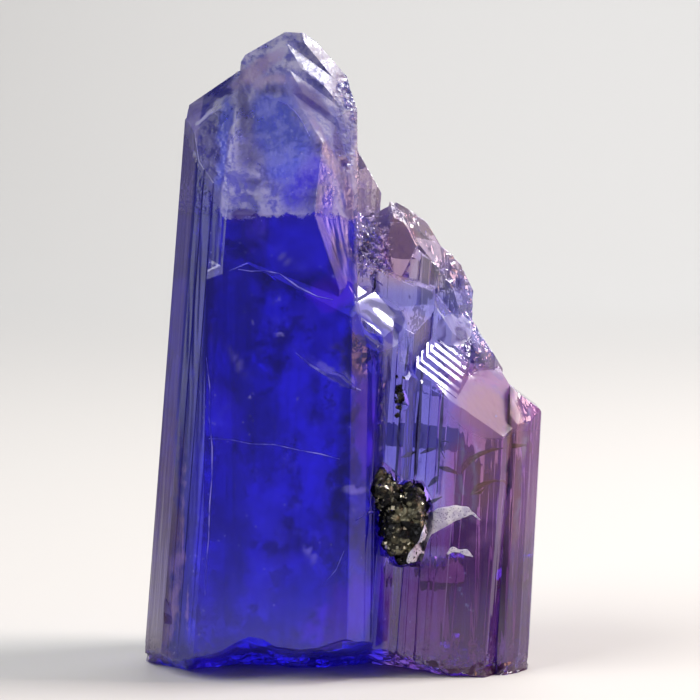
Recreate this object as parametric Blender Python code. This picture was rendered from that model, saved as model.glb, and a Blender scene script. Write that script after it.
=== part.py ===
"""Rough tanzanite: a cluster of parallel zoisite prisms grown into one stone, standing on its broken
base, with a lump of dark metallic matrix caught in the notch between the two main growths.

Metres, +Z up. +X runs across the stone towards the stepped growth, -Y is the side with the notch.
The origin is at the middle of the stone's footprint, on the surface that it stands on.
"""

import math
import random

import bmesh
import bpy
from mathutils import Matrix, Vector, noise

MM = 0.001

# Driving dimensions of the stone, in mm
PEAK = 20.95
LEFT = -6.56
RIGHT = 6.17
FRONT = -3.05
BACK = 4.3
MIDDLE = (0.01, 0.73)
BLOCK = 40.0

# How far each growth leans towards +X, in degrees
LEAN_MAIN = 4.6
LEAN_STEPS = 4.4
LEAN_COLUMNS = 3.4
LEAN_RIGHT = 2.8

# Growth lines that run up the prism faces, in mm
LINE_PITCH = 0.34
LINE_DEPTH = 0.07
LINE_RISER = 0.035

# The face that ends most prisms, sloping down to the right: compass side and slope in degrees
STEP_FACE = (-56, 53)

# Small offset that keeps neighbouring growths from sharing a plane, in mm
STAGGER = 0.004

# Clear space around the matrix lump, in mm
MATRIX_GAP = 0.3

FACES_LEFT, FACES_RIGHT, FACES_FRONT, FACES_BACK = 180, 0, -90, 90


def new_collection(name):
    made = bpy.data.collections.new(name)
    bpy.context.scene.collection.children.link(made)
    return made


def clear_scene():
    for obj in list(bpy.data.objects):
        bpy.data.objects.remove(obj)


def object_from(bm, name, collection):
    mesh = bpy.data.meshes.new(name)
    bm.to_mesh(mesh)
    bm.free()
    made = bpy.data.objects.new(name, mesh)
    collection.objects.link(made)
    return made


def helper(bm, name, collection):
    """A growth or a cutter that only shapes the stone, so it isn't rendered."""
    made = object_from(bm, name, collection)
    made.hide_render = True
    made.display_type = "WIRE"


def facing(azimuth, slope):
    """The outward normal of a face: azimuth is its compass side, slope is 0 for level, 90 for upright."""
    a, s = math.radians(azimuth), math.radians(slope)
    return Vector((math.cos(a) * math.sin(s), math.sin(a) * math.sin(s), math.cos(s)))


def cut(bm, point, normal):
    """Takes away what lies outside a plane, and closes the cut with a face."""
    everything = bm.verts[:] + bm.edges[:] + bm.faces[:]
    bmesh.ops.bisect_plane(
        bm, geom=everything, dist=1e-8, plane_co=point, plane_no=normal, clear_outer=True
    )
    rim = [e for e in bm.edges if e.is_boundary]
    if rim:
        bmesh.ops.holes_fill(bm, edges=rim, sides=0)


def extruded(corners, travel):
    """A closed solid from flat corners in mm, carried along travel."""
    bm = bmesh.new()
    base = bm.faces.new([bm.verts.new(corner * MM) for corner in corners])
    risen = bmesh.ops.extrude_face_region(bm, geom=[base])["geom"]
    far = [v for v in risen if isinstance(v, bmesh.types.BMVert)]
    bmesh.ops.translate(bm, verts=far, vec=travel * MM)
    bmesh.ops.recalc_face_normals(bm, faces=bm.faces[:])
    return bm, far


def growth_lines(start, end, depth, seed):
    """The corners of a lined face seen from above: flat terraces at slightly different depths."""
    dice = random.Random(seed)
    along = (end - start).normalized()
    inward = Vector((-along.y, along.x))
    length = (end - start).length
    count = max(1, round(length / LINE_PITCH))
    corners = [start]
    level = 0.0
    for i in range(1, count):
        at = length * (i + dice.uniform(-0.32, 0.32)) / count
        corners.append(start + along * (at - LINE_RISER) + inward * level)
        level = dice.uniform(0.15, 1.0) * depth
        corners.append(start + along * at + inward * level)
    corners.append(end - along * LINE_RISER + inward * level)
    return corners


def growth(name, outline, lean, faces, collection, level=0.0, lined=(), depth=LINE_DEPTH):
    """One prism of the cluster. outline is its section at the height level, going round anticlockwise
    seen from above. faces are the flat faces that end it: (point, azimuth, slope). lined numbers the
    sides that carry growth lines of the given depth."""
    corners = [Vector(c) for c in outline]
    section = []
    for i, corner in enumerate(corners):
        following = corners[(i + 1) % len(corners)]
        if i in lined:
            section += growth_lines(corner, following, depth, f"{name}{i}")
        else:
            section.append(corner)
    turn = len(collection.objects)
    nudge = Vector((0, 1, -1)) * STAGGER * (turn % 7)
    axis = Vector((math.tan(math.radians(lean)), 0, 1))
    below = axis * (-1.5 - 0.05 * turn - level)
    foot = [Vector((c.x, c.y, level)) + below + nudge for c in section]
    bm, _ = extruded(foot, axis * BLOCK)
    for point, azimuth, slope in faces:
        cut(bm, (Vector(point) + nudge) * MM, facing(azimuth, slope))
    helper(bm, name, collection)


def wedge(name, faces, collection):
    """A cutter bounded by flat faces, (point, azimuth, slope), and open to the outside of the stone."""
    bm = bmesh.new()
    bmesh.ops.create_cube(bm, size=BLOCK * 2 * MM)
    for point, azimuth, slope in faces:
        cut(bm, Vector(point) * MM, facing(azimuth, slope))
    helper(bm, name, collection)


def boss(name, outline, front, back, widening, collection):
    """A flat face of the given outline, (x, z), that widens towards the back, as a cut gem's table."""
    corners = [Vector((x, front, z)) for x, z in outline]
    middle = sum(corners, Vector()) / len(corners)
    bm, far = extruded(corners, Vector((0, back - front, 0)))
    rear = Vector((middle.x, back, middle.z)) * MM
    for vertex in far:
        vertex.co = rear + (vertex.co - rear) * widening
    helper(bm, name, collection)


def main_growth(collection):
    """The tall thick prism on the left, with two tips and a steep pyramid face in front."""
    growth(
        "left_tip",
        [(-4.8, -3.0), (-4.25, -2.96), (-4.25, 3.3), (-5.3, 3.5), (-6.3, 2.2), (LEFT, 0.9),
         (LEFT, -0.6), (-5.94, -2.0)],
        LEAN_MAIN,
        [((-4.91, 0, 18.58), FACES_LEFT, 34.6), ((-3.35, 0, 19.6), FACES_RIGHT, 60),
         ((-4.2, FRONT, 14.92), -93, 60), ((-4.35, -1.35, 17.95), -130, 43),
         ((-4.4, 3.4, 16.4), 96, 52), ((-5.22, 0, 18.05), FACES_LEFT, 66)],
        collection, lined=(2, 3, 4, 5, 7),
    )
    growth(
        "tall_tip",
        [(-4.85, FRONT), (-1.1, FRONT), (-0.55, -2.35), (-0.35, -1.2), (0.15, 2.4), (-0.75, 3.9),
         (-3.65, BACK), (-4.95, 3.0)],
        LEAN_MAIN,
        [((0.5, 0, 15), FACES_RIGHT, 90), ((-3.2, 0, 20.1), FACES_LEFT, 30.4),
         ((-3.43, 0, 19.65), FACES_LEFT, 60), ((-1.39, 0, PEAK), FACES_RIGHT, 35.4),
         ((-1.6, 0, PEAK - 0.08), FACES_RIGHT, 3),
         ((-0.01, 0, 19.96), FACES_RIGHT, 72), ((-1.5, FRONT, 15.0), -90, 63.5),
         ((0.15, -1.9, 15.0), -42, 76), ((-0.35, -1.3, 18.0), -50, 62),
         ((-2.0, BACK, 15.4), 93, 56), ((-0.3, 2.6, 17.6), 42, 55)],
        collection, lined=(2, 4, 5, 6),
    )
    growth(
        "lower_front",
        [(-4.5, -3.0), (0.15, -3.36), (0.95, -2.75), (1.0, -0.6), (-4.3, -0.6)],
        0.8,
        [((-1.6, -3.2, 12.75), -76, 58), ((-3.3, -3.1, 13.3), -112, 52), ((0.45, -3.3, 11.85), -36, 60),
         ((1.22, -2.6, 9.6), -8, 74)],
        collection, lined=(1,), depth=0.1,
    )
    growth(
        "behind",
        [(-5.6, 0.5), (-1.2, 0.5), (0.6, 3.2), (-0.4, BACK + 0.35), (-3.2, BACK + 0.5), (-5.1, 3.6)],
        LEAN_MAIN - 0.6,
        [((-2.0, BACK, 12.9), 84, 48), ((-4.6, 3.0, 13.6), 150, 58), ((0.4, 3.2, 12.4), 30, 52)],
        collection, lined=(2, 3, 4), depth=0.1,
    )


def peak_terraces(collection):
    """Cutters that step the right side of the peak down towards the front in parallel terraces."""
    for i, (front, drop) in enumerate([(-0.28, 0.3), (-0.72, 0.62), (-1.12, 0.88)]):
        tread = (-0.7, 0.2, 20.52 - drop)
        wedge(
            f"peak_terrace_{i + 1}",
            [((0, front, 0), FACES_BACK, 90), (tread, STEP_FACE[0] + 180, 180 - STEP_FACE[1])],
            collection,
        )


def crown_growth(collection):
    """The rounded prisms right of the main growth, seen behind the knob."""
    growth(
        "sliver",
        [(-1.6, 0.0), (-0.1, -0.05), (0.08, 0.2), (0.08, 1.3), (-1.6, 1.9)],
        LEAN_STEPS,
        [((0.51, 0, 17.04), FACES_RIGHT, 61), ((0.3, 0.0, 15.9), FACES_FRONT, 70),
         ((0.3, 1.5, 16.3), FACES_BACK, 55)],
        collection,
    )
    growth(
        "crown",
        [(0.2, -0.2), (2.95, -0.4), (3.35, 0.2), (3.5, 2.5), (2.6, 3.1), (0.2, 3.1)],
        LEAN_STEPS,
        [((1.38, 0.4, 15.14), FACES_LEFT, 27), ((1.74, 0.4, 15.36), FACES_RIGHT, 27),
         ((2.44, 0.4, 15.0), FACES_RIGHT, 43), ((2.8, 0.4, 14.67), FACES_RIGHT, 61),
         ((1.7, -0.2, 14.55), -78, 66), ((1.25, -0.25, 14.1), -140, 58),
         ((2.4, -0.25, 14.3), -40, 62), ((1.8, 2.4, 14.1), FACES_BACK, 44)],
        collection, level=13.0, lined=(2, 3, 4),
    )
    boss(
        "lozenge",
        [(1.66, 14.87), (1.53, 14.4), (1.4, 14.0), (1.76, 12.86), (1.93, 12.95), (2.2, 13.45),
         (2.42, 13.95), (2.0, 14.72)],
        -0.78, 0.4, 1.5, collection,
    )
    for i, (x, front, top) in enumerate([(2.18, -0.66, 13.62), (2.52, -0.72, 13.66), (2.86, -0.6, 13.5)]):
        growth(
            f"side_step_{i + 1}",
            [(x, front), (x + 0.31, front - 0.03), (x + 0.36, front + 0.1), (x + 0.36, 0.1), (x, 0.1)],
            LEAN_STEPS,
            [((x, front, top), -70, 52), ((2.7, -0.5, 13.62), FACES_RIGHT, 40)],
            collection, level=13.0,
        )
    growth(
        "rounded",
        [(1.6, -0.35), (3.9, -0.5), (4.38, 0.2), (4.4, 1.9), (3.5, 2.8), (1.6, 2.8)],
        LEAN_STEPS,
        [((3.4, 0.5, 13.78), FACES_RIGHT, 36), ((3.8, 0.5, 13.41), FACES_RIGHT, 48),
         ((4.12, 0.5, 12.85), FACES_RIGHT, 64), ((3.3, -0.4, 13.1), -60, 66),
         ((3.9, -0.2, 12.4), -38, 76), ((3.2, 2.2, 12.9), 80, 46)],
        collection, level=13.0, lined=(2, 3, 4),
    )


def etched_steps(collection):
    """The rough dark corner left of the lozenge: small parallel ledges, each set back a little."""
    for i in range(6):
        front = -1.0 + 0.11 * i
        top = 12.95 + 0.27 * i
        right = 1.36 - 0.05 * i
        growth(
            f"etched_step_{i + 1}",
            [(0.2, front - 0.02 * i), (right, front), (right + 0.14, front + 0.14), (1.5, 0.0), (0.2, 0.0)],
            LEAN_STEPS,
            [((0.9, front, top), *STEP_FACE)],
            collection, level=13.0,
        )


def blue_wall(collection):
    """The flat blue wall under the crown, stepped in thin upright plates, and its striated ledge."""
    spans = [(0.3, 0.98, -1.02), (0.94, 1.34, -0.94), (1.3, 1.88, -1.1), (1.84, 2.32, -1.05),
             (2.28, 3.02, -0.98)]
    for i, (left, right, front) in enumerate(spans):
        growth(
            f"wall_plate_{i + 1}",
            [(left, front), (right, front - 0.02), (right, 0.0), (left, 0.0)],
            LEAN_STEPS,
            [((1.8, -1.05, 12.89), -51, 33), ((2.9, -1.0, 12.45), -38, 66)],
            collection, level=12.4,
        )
    growth(
        "striated_ledge",
        [(0.7, -1.45), (1.7, -1.6), (2.32, -2.0), (2.55, -1.7), (2.85, -1.35), (2.98, -1.08), (2.98, -0.4),
         (0.7, -0.4)],
        LEAN_STEPS,
        [((1.9, -1.05, 11.97), FACES_FRONT, 41)],
        collection, level=11.3, lined=(2, 3), depth=0.12,
    )
    growth(
        "pale_plate",
        [(2.86, -1.35), (3.5, -1.4), (4.02, -0.9), (4.1, 0.0), (2.86, 0.0)],
        LEAN_STEPS + 0.4,
        [((3.0, -1.3, 12.05), -22, 58), ((3.6, -1.2, 11.3), -30, 68)],
        collection, level=10.6,
    )


def knob(collection):
    """The short rounded prism squeezed between the two main growths, with two bright end faces."""
    growth(
        "knob",
        [(-0.1, -2.2), (0.25, -2.66), (1.3, -2.74), (1.62, -2.3), (1.66, -0.4), (-0.1, -0.4)],
        4.0,
        [((0.75, -2.1, 12.3), -120, 20), ((0.75, -2.5, 11.75), *STEP_FACE),
         ((1.4, -1.9, 12.1), FACES_RIGHT, 50)],
        collection, level=11.0, lined=(1, 2),
    )
    growth(
        "knob_lip",
        [(0.3, -2.5), (0.65, -2.86), (1.2, -2.9), (1.45, -2.5), (1.4, -1.6), (0.3, -1.6)],
        4.0,
        [((0.75, -2.7, 11.32), *STEP_FACE)],
        collection, level=11.0,
    )


def striped_steps(collection):
    """The bright striped end: thin plates, each set back and raised, whose end faces are parallel."""
    count = 7
    for i in range(count):
        share = i / (count - 1)
        front = -2.12 + 0.75 * share
        left = 2.34 + 0.95 * share
        right = 3.72 + 0.42 * share
        height = 9.72 + 0.94 * share
        growth(
            f"striped_step_{i + 1}",
            [(left, front + 0.03), (right, front), (right + 0.04, front + 0.1), (right + 0.04, -0.3),
             (left, -0.3)],
            LEAN_STEPS,
            [((0.5 * (left + 3.38 + 0.75 * share), front, height), *STEP_FACE)],
            collection, level=height,
        )
    growth(
        "shard",
        [(1.72, -2.2), (2.1, -2.42), (2.42, -2.2), (2.5, -1.0), (1.72, -1.0)],
        LEAN_STEPS,
        [((2.1, -2.3, 9.9), -110, 64), ((2.3, -2.2, 9.85), -30, 56)],
        collection, level=9.5,
    )


def blue_columns(collection):
    """The narrow upright columns between the knob and the lilac face, with deep grooves between them."""
    columns = [(1.25, 1.6, -2.18, 10.9), (1.64, 1.98, -2.28, 10.35), (2.02, 2.36, -2.08, 9.6),
               (2.4, 2.74, -2.24, 9.62), (2.77, 3.05, -2.2, 9.4), (3.08, 3.36, -2.26, 9.2)]
    for i, (left, right, front, top) in enumerate(columns):
        growth(
            f"blue_column_{i + 1}",
            [(left, front), (right - 0.03, front - 0.02), (right, front + 0.06), (right, -1.5), (left, -1.5)],
            LEAN_COLUMNS,
            [((left, front, top), -72, 50)],
            collection, level=7.5,
        )
    growth(
        "between_columns",
        [(0.9, -1.98), (3.3, -2.0), (3.4, -0.8), (0.9, -0.8)],
        LEAN_COLUMNS,
        [((2.2, -1.95, 9.5), -80, 48), ((1.3, -1.95, 10.8), -70, 55)],
        collection, level=7.5, lined=(0,),
    )


def right_growth(collection):
    """The broad low prism on the right, its sloping rose face, the slope above and the bevelled edge."""
    growth(
        "lilac_body",
        [(2.4, -1.9), (3.35, -2.3), (5.2, -2.22), (5.62, -1.6), (5.8, 1.2), (4.8, 2.5), (2.4, 2.9)],
        LEAN_STEPS,
        [((4.6, -2.25, 8.25), *STEP_FACE), ((5.0, -1.2, 9.35), -40, 35), ((5.3, 0.3, 9.7), FACES_RIGHT, 60),
         ((4.6, 2.0, 9.2), 70, 50)],
        collection, level=8.0, lined=(1, 4, 5), depth=0.04,
    )
    growth(
        "slope",
        [(2.4, -0.6), (4.3, -0.85), (5.0, -0.1), (5.35, 1.0), (5.0, 2.3), (2.4, 2.9)],
        LEAN_STEPS,
        [((4.64, 0.5, 11.33), FACES_RIGHT, 63), ((5.14, 0.5, 10.1), FACES_RIGHT, 58),
         ((4.5, -0.5, 10.7), -40, 64), ((4.0, -0.6, 11.2), -62, 58), ((4.2, 2.0, 10.9), 64, 50)],
        collection, level=10.0, lined=(3, 4),
    )
    growth(
        "right_edge",
        [(5.0, -1.72), (5.25, -1.78), (5.72, -1.35), (6.08, -0.75), (RIGHT, 0.1), (5.95, 1.3),
         (5.2, 2.1), (5.0, 2.15)],
        LEAN_RIGHT,
        [((5.61, 0.5, 9.25), FACES_RIGHT, 37), ((6.45, 0.5, 8.6), FACES_RIGHT, 58),
         ((5.7, -1.3, 8.75), -52, 58), ((5.8, 1.4, 8.6), 48, 46)],
        collection, lined=(5, 6), depth=0.05,
    )
    growth(
        "rear_right",
        [(0.2, 0.5), (4.0, 0.5), (4.5, 2.4), (3.3, 3.4), (1.2, 3.9), (0.2, 3.4)],
        LEAN_STEPS - 1.0,
        [((2.6, 3.2, 7.6), 74, 50), ((4.4, 2.4, 7.0), 24, 60), ((1.0, 3.6, 8.4), 110, 48)],
        collection, lined=(2, 3, 4),
    )


# Height in mm of the broken edge along the front of the base, from left to right
BROKEN_EDGE = [(-6.5, 1.6), (-5.1, 0.78), (-3.0, 1.4), (-1.5, 1.07), (0.9, 1.43), (2.6, 0.76),
               (4.7, 0.34), (6.5, 0.5)]
UNDERSIDE_SLOPE = 0.42


def broken_edge_height(x):
    for (x1, z1), (x2, z2) in zip(BROKEN_EDGE, BROKEN_EDGE[1:]):
        if x <= x2:
            return z1 + (z2 - z1) * (max(x, x1) - x1) / (x2 - x1)
    return BROKEN_EDGE[-1][1]


def broken_height(x, y):
    """Height in mm of the fractured underside: high in front, level where it stands at the back."""
    ripple = 0.22 * noise.noise(Vector((x * 0.55, y * 0.6, 4.2)))
    grain = 0.10 * noise.noise(Vector((x * 1.9, y * 1.7, 9.1)))
    shells = 0.05 * math.sin(3.6 * math.hypot(x - 2.4, y + 4.0))
    rise = broken_edge_height(x) - UNDERSIDE_SLOPE * (y - FRONT)
    return max(0.0, rise + ripple + grain + shells - 0.03)


def broken_base(collection):
    """The cutter under the stone. Its wavy top leaves the fracture and the flat spots it stands on."""
    bm = bmesh.new()
    bmesh.ops.create_grid(bm, x_segments=40, y_segments=24, size=0.5)
    for vertex in bm.verts:
        x, y = vertex.co.x * 17.0, vertex.co.y * 11.0 + 0.5
        vertex.co = Vector((x, y, broken_height(x, y))) * MM
    sunk = bmesh.ops.extrude_face_region(bm, geom=bm.faces[:])["geom"]
    floor = [v for v in sunk if isinstance(v, bmesh.types.BMVert)]
    for vertex in floor:
        vertex.co.z = -6.0 * MM
    bmesh.ops.recalc_face_normals(bm, faces=bm.faces[:])
    helper(bm, "broken_base", collection)


def rock(name, seed, centre, size, turn, collection):
    """A rough angular mass: a block with its corners broken off at seeded angles."""
    dice = random.Random(seed)
    bm = bmesh.new()
    bmesh.ops.create_cube(bm, size=2.0)
    for _ in range(16):
        away = Vector([dice.uniform(-1, 1) for _ in range(3)]).normalized()
        cut(bm, away * dice.uniform(0.88, 1.08), away)
    bmesh.ops.scale(bm, verts=bm.verts[:], vec=size)
    turned = Matrix.Rotation(math.radians(turn), 3, "Y")
    bmesh.ops.rotate(bm, verts=bm.verts[:], cent=(0, 0, 0), matrix=turned)
    bmesh.ops.translate(bm, verts=bm.verts[:], vec=centre)
    bmesh.ops.scale(bm, verts=bm.verts[:], vec=(MM, MM, MM))
    helper(bm, name, collection)


# The matrix lump's masses: centre and half size in mm, turn in degrees
MATRIX_MASSES = [
    ((1.9, -2.0, 5.05), (0.42, 0.62, 0.85), 6),
    ((1.42, -2.1, 6.0), (0.3, 0.45, 0.72), -22),
    ((2.22, -2.08, 5.35), (0.38, 0.55, 0.78), 4),
    ((1.72, -2.22, 4.75), (0.32, 0.5, 0.68), -16),
    ((2.1, -2.05, 4.2), (0.27, 0.4, 0.34), 20),
]


def matrix_masses(label, extra, collection):
    for i, (centre, size, turn) in enumerate(MATRIX_MASSES):
        rock(f"{label}_{i + 1}", f"matrix{i}", centre, [s + extra for s in size], turn, collection)


def chips(collection):
    """Small pits and chipped edges: centre and half size in mm, turn in degrees."""
    places = [
        ((1.32, -3.25, 10.4), (0.42, 0.42, 0.6), 30),
        ((0.9, -3.3, 11.6), (0.3, 0.24, 0.22), -20),
        ((1.3, -3.1, 7.6), (0.2, 0.32, 0.8), 8),
        ((-2.6, -3.35, 13.15), (0.7, 0.22, 0.16), 22),
        ((1.95, -2.45, 9.0), (0.2, 0.28, 0.32), -10),
        ((-5.75, -2.2, 2.2), (0.25, 0.25, 0.45), 0),
        ((6.72, -0.3, 6.4), (0.16, 0.4, 0.32), 12),
        ((4.05, -2.45, 4.7), (0.5, 0.22, 0.16), 8),
        ((-2.7, 4.9, 9.5), (0.9, 0.4, 0.6), 25),
        ((3.4, 3.3, 3.0), (0.8, 0.5, 0.5), -30),
    ]
    for i, (centre, size, turn) in enumerate(places):
        rock(f"chip_{i + 1}", f"chip{i}", centre, size, turn, collection)


def join_modifier(target, group, operation):
    modifier = target.modifiers.new(operation.lower(), "BOOLEAN")
    modifier.operation = operation
    modifier.solver = "EXACT"
    modifier.operand_type = "COLLECTION"
    modifier.collection = group


def fused(growths, cutters, name, collection):
    """One object: all growths joined, all cutters taken away, tidied, with the footprint centred."""
    first = growths.objects[0]
    join_modifier(first, growths, "UNION")
    if cutters:
        join_modifier(first, cutters, "DIFFERENCE")
    bpy.context.view_layer.update()
    evaluated = first.evaluated_get(bpy.context.evaluated_depsgraph_get())
    mesh = bpy.data.meshes.new_from_object(evaluated)
    first.modifiers.clear()
    bm = bmesh.new()
    bm.from_mesh(mesh)
    bpy.data.meshes.remove(mesh)
    bmesh.ops.remove_doubles(bm, verts=bm.verts[:], dist=1e-6)
    bmesh.ops.dissolve_degenerate(bm, edges=bm.edges[:], dist=5e-7)
    bmesh.ops.triangulate(bm, faces=bm.faces[:])
    bmesh.ops.translate(bm, verts=bm.verts[:], vec=(-MIDDLE[0] * MM, -MIDDLE[1] * MM, 0))
    return object_from(bm, name, collection)


def material(name, colour, roughness, metallic=0.0, transmission=0.0, ior=1.5):
    made = bpy.data.materials.new(name)
    made.use_nodes = True
    shader = made.node_tree.nodes["Principled BSDF"]
    shader.inputs["Base Color"].default_value = (*colour, 1.0)
    shader.inputs["Roughness"].default_value = roughness
    shader.inputs["Metallic"].default_value = metallic
    shader.inputs["Transmission Weight"].default_value = transmission
    shader.inputs["IOR"].default_value = ior
    return made


def build():
    clear_scene()
    stone = new_collection("rough_tanzanite")
    growths = new_collection("growths")
    masses = new_collection("masses")
    cutters = new_collection("cutters")

    main_growth(growths)
    crown_growth(growths)
    etched_steps(growths)
    blue_wall(growths)
    knob(growths)
    striped_steps(growths)
    blue_columns(growths)
    right_growth(growths)
    peak_terraces(cutters)
    broken_base(cutters)
    chips(cutters)
    matrix_masses("pit", MATRIX_GAP, cutters)
    crystal = fused(growths, cutters, "tanzanite_crystal", stone)
    crystal.data.materials.append(
        material("violet_blue_zoisite", (0.07, 0.05, 0.55), 0.08, transmission=0.85, ior=1.695)
    )

    matrix_masses("mass", 0.0, masses)
    matrix = fused(masses, None, "matrix_lump", stone)
    matrix.data.materials.append(material("dark_pyrite_matrix", (0.09, 0.08, 0.05), 0.45, metallic=0.7))


build()
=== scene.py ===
"""Rough tanzanite, dressed for rendering: the clear violet-blue crystal with its frosted tip, growth
lines and colour zones (with painted highlights, painted warm reflections and painted shade among
them), the metallic matrix lump in the notch, the pale crust, the dark cracks inside, the pale veins,
and a plain studio around them.

Metres, +Z up. The stone stands at the origin, its notch faces -Y.
"""

import math
import random

import bmesh
import bpy
import numpy as np
from bpy.props import FloatProperty, FloatVectorProperty, IntProperty, PointerProperty
from mathutils import Matrix, Vector, noise
from mathutils.geometry import intersect_point_line
from mathutils.bvhtree import BVHTree


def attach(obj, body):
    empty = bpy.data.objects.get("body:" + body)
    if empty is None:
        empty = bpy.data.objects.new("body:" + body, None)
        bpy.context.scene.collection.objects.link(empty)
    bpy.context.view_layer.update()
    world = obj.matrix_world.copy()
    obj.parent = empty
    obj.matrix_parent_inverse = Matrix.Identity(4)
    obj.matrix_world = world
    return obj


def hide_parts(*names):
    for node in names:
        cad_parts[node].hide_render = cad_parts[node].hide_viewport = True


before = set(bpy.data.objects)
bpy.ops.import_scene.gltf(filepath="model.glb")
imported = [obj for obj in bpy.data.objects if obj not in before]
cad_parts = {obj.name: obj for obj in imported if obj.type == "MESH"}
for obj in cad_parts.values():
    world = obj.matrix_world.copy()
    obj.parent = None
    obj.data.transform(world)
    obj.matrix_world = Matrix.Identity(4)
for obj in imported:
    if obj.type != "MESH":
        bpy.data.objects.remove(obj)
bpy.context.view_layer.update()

bl_info = {
    "name": "Rough Tanzanite",
    "version": (1, 0, 0),
    "blender": (4, 5, 0),
    "location": "3D View > Sidebar > Tanzanite",
    "description": "Builds a rough tanzanite crystal with its matrix, inclusions and studio",
    "category": "Add Mesh",
}

MM = 0.001
# How far the left strips lean to the right, per mm of height
LEAN = math.tan(math.radians(4.6))
# Corners nearer to each other than this are one, in metres
JOINED = 1e-7


class StoneSettings(bpy.types.PropertyGroup):
    """Sizes and colours of the stone."""

    edge_width: FloatProperty(
        name="Edge Width", description="Width of the worn bevel along the crystal's edges",
        default=0.018 * MM, min=0.0, unit="LENGTH",
    )
    refraction: FloatProperty(
        name="Refraction", description="Index of refraction of zoisite", default=1.695, min=1.0,
    )
    body_colour: FloatVectorProperty(
        name="Body Colour", description="Deep blue of the thick main growth",
        subtype="COLOR", size=3, min=0.0, max=1.0, default=(0.028, 0.013, 0.80),
    )
    pale_colour: FloatVectorProperty(
        name="Pale Colour", description="Lilac of the thin stepped growths",
        subtype="COLOR", size=3, min=0.0, max=1.0, default=(0.62, 0.28, 0.58),
    )
    absorption_colour: FloatVectorProperty(
        name="Absorption Colour", description="Colour that light keeps on its way through the stone",
        subtype="COLOR", size=3, min=0.0, max=1.0, default=(0.34, 0.20, 0.97),
    )
    absorption_density: FloatProperty(
        name="Absorption Density", description="Strength of the absorption, per metre",
        default=150.0, min=0.0,
    )


class InclusionSettings(bpy.types.PropertyGroup):
    """The matrix lump and what is grown into or onto the crystal."""

    grain_count: IntProperty(
        name="Grain Count", description="Bright metallic grains on the matrix lump", default=70, min=0,
    )
    speck_count: IntProperty(
        name="Speck Count", description="Dark specks on the grooves above the matrix lump",
        default=34, min=0,
    )
    crust_thickness: FloatProperty(
        name="Crust Thickness", description="Thickness of the pale crust below the matrix lump",
        default=0.05 * MM, min=0.0, unit="LENGTH",
    )


class StudioSettings(bpy.types.PropertyGroup):
    """Floor, light and camera."""

    floor_colour: FloatVectorProperty(
        name="Floor Colour", description="Colour of the floor and the wall behind",
        subtype="COLOR", size=3, min=0.0, max=1.0, default=(0.56, 0.556, 0.54),
    )
    surround: FloatProperty(
        name="Surround", description="Brightness of the light from all sides", default=0.22, min=0.0,
    )
    camera_distance: FloatProperty(
        name="Camera Distance", description="From the camera to the middle of the stone",
        default=90 * MM, min=0.0, unit="LENGTH",
    )
    camera_elevation: FloatProperty(
        name="Camera Elevation", description="How far the camera looks down",
        default=math.radians(4.0), subtype="ANGLE",
    )


def mesh_object(bm, name, material, smooth=False):
    """A new object from a bmesh, at the origin."""
    mesh = bpy.data.meshes.new(name)
    bm.to_mesh(mesh)
    bm.free()
    if smooth:
        mesh.shade_smooth()
    mesh.materials.append(material)
    made = bpy.data.objects.new(name, mesh)
    bpy.context.scene.collection.objects.link(made)
    return made


def merged_copy(node):
    """A bmesh copy of a CAD node, with its loose triangles joined."""
    bm = bmesh.new()
    bm.from_mesh(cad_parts[node].data)
    bmesh.ops.remove_doubles(bm, verts=bm.verts[:], dist=JOINED)
    return bm


def search_tree(node):
    """For finding points on a CAD node's surface."""
    bm = merged_copy(node)
    tree = BVHTree.FromBMesh(bm)
    bm.free()
    return tree


# Node graphs of the materials

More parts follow.
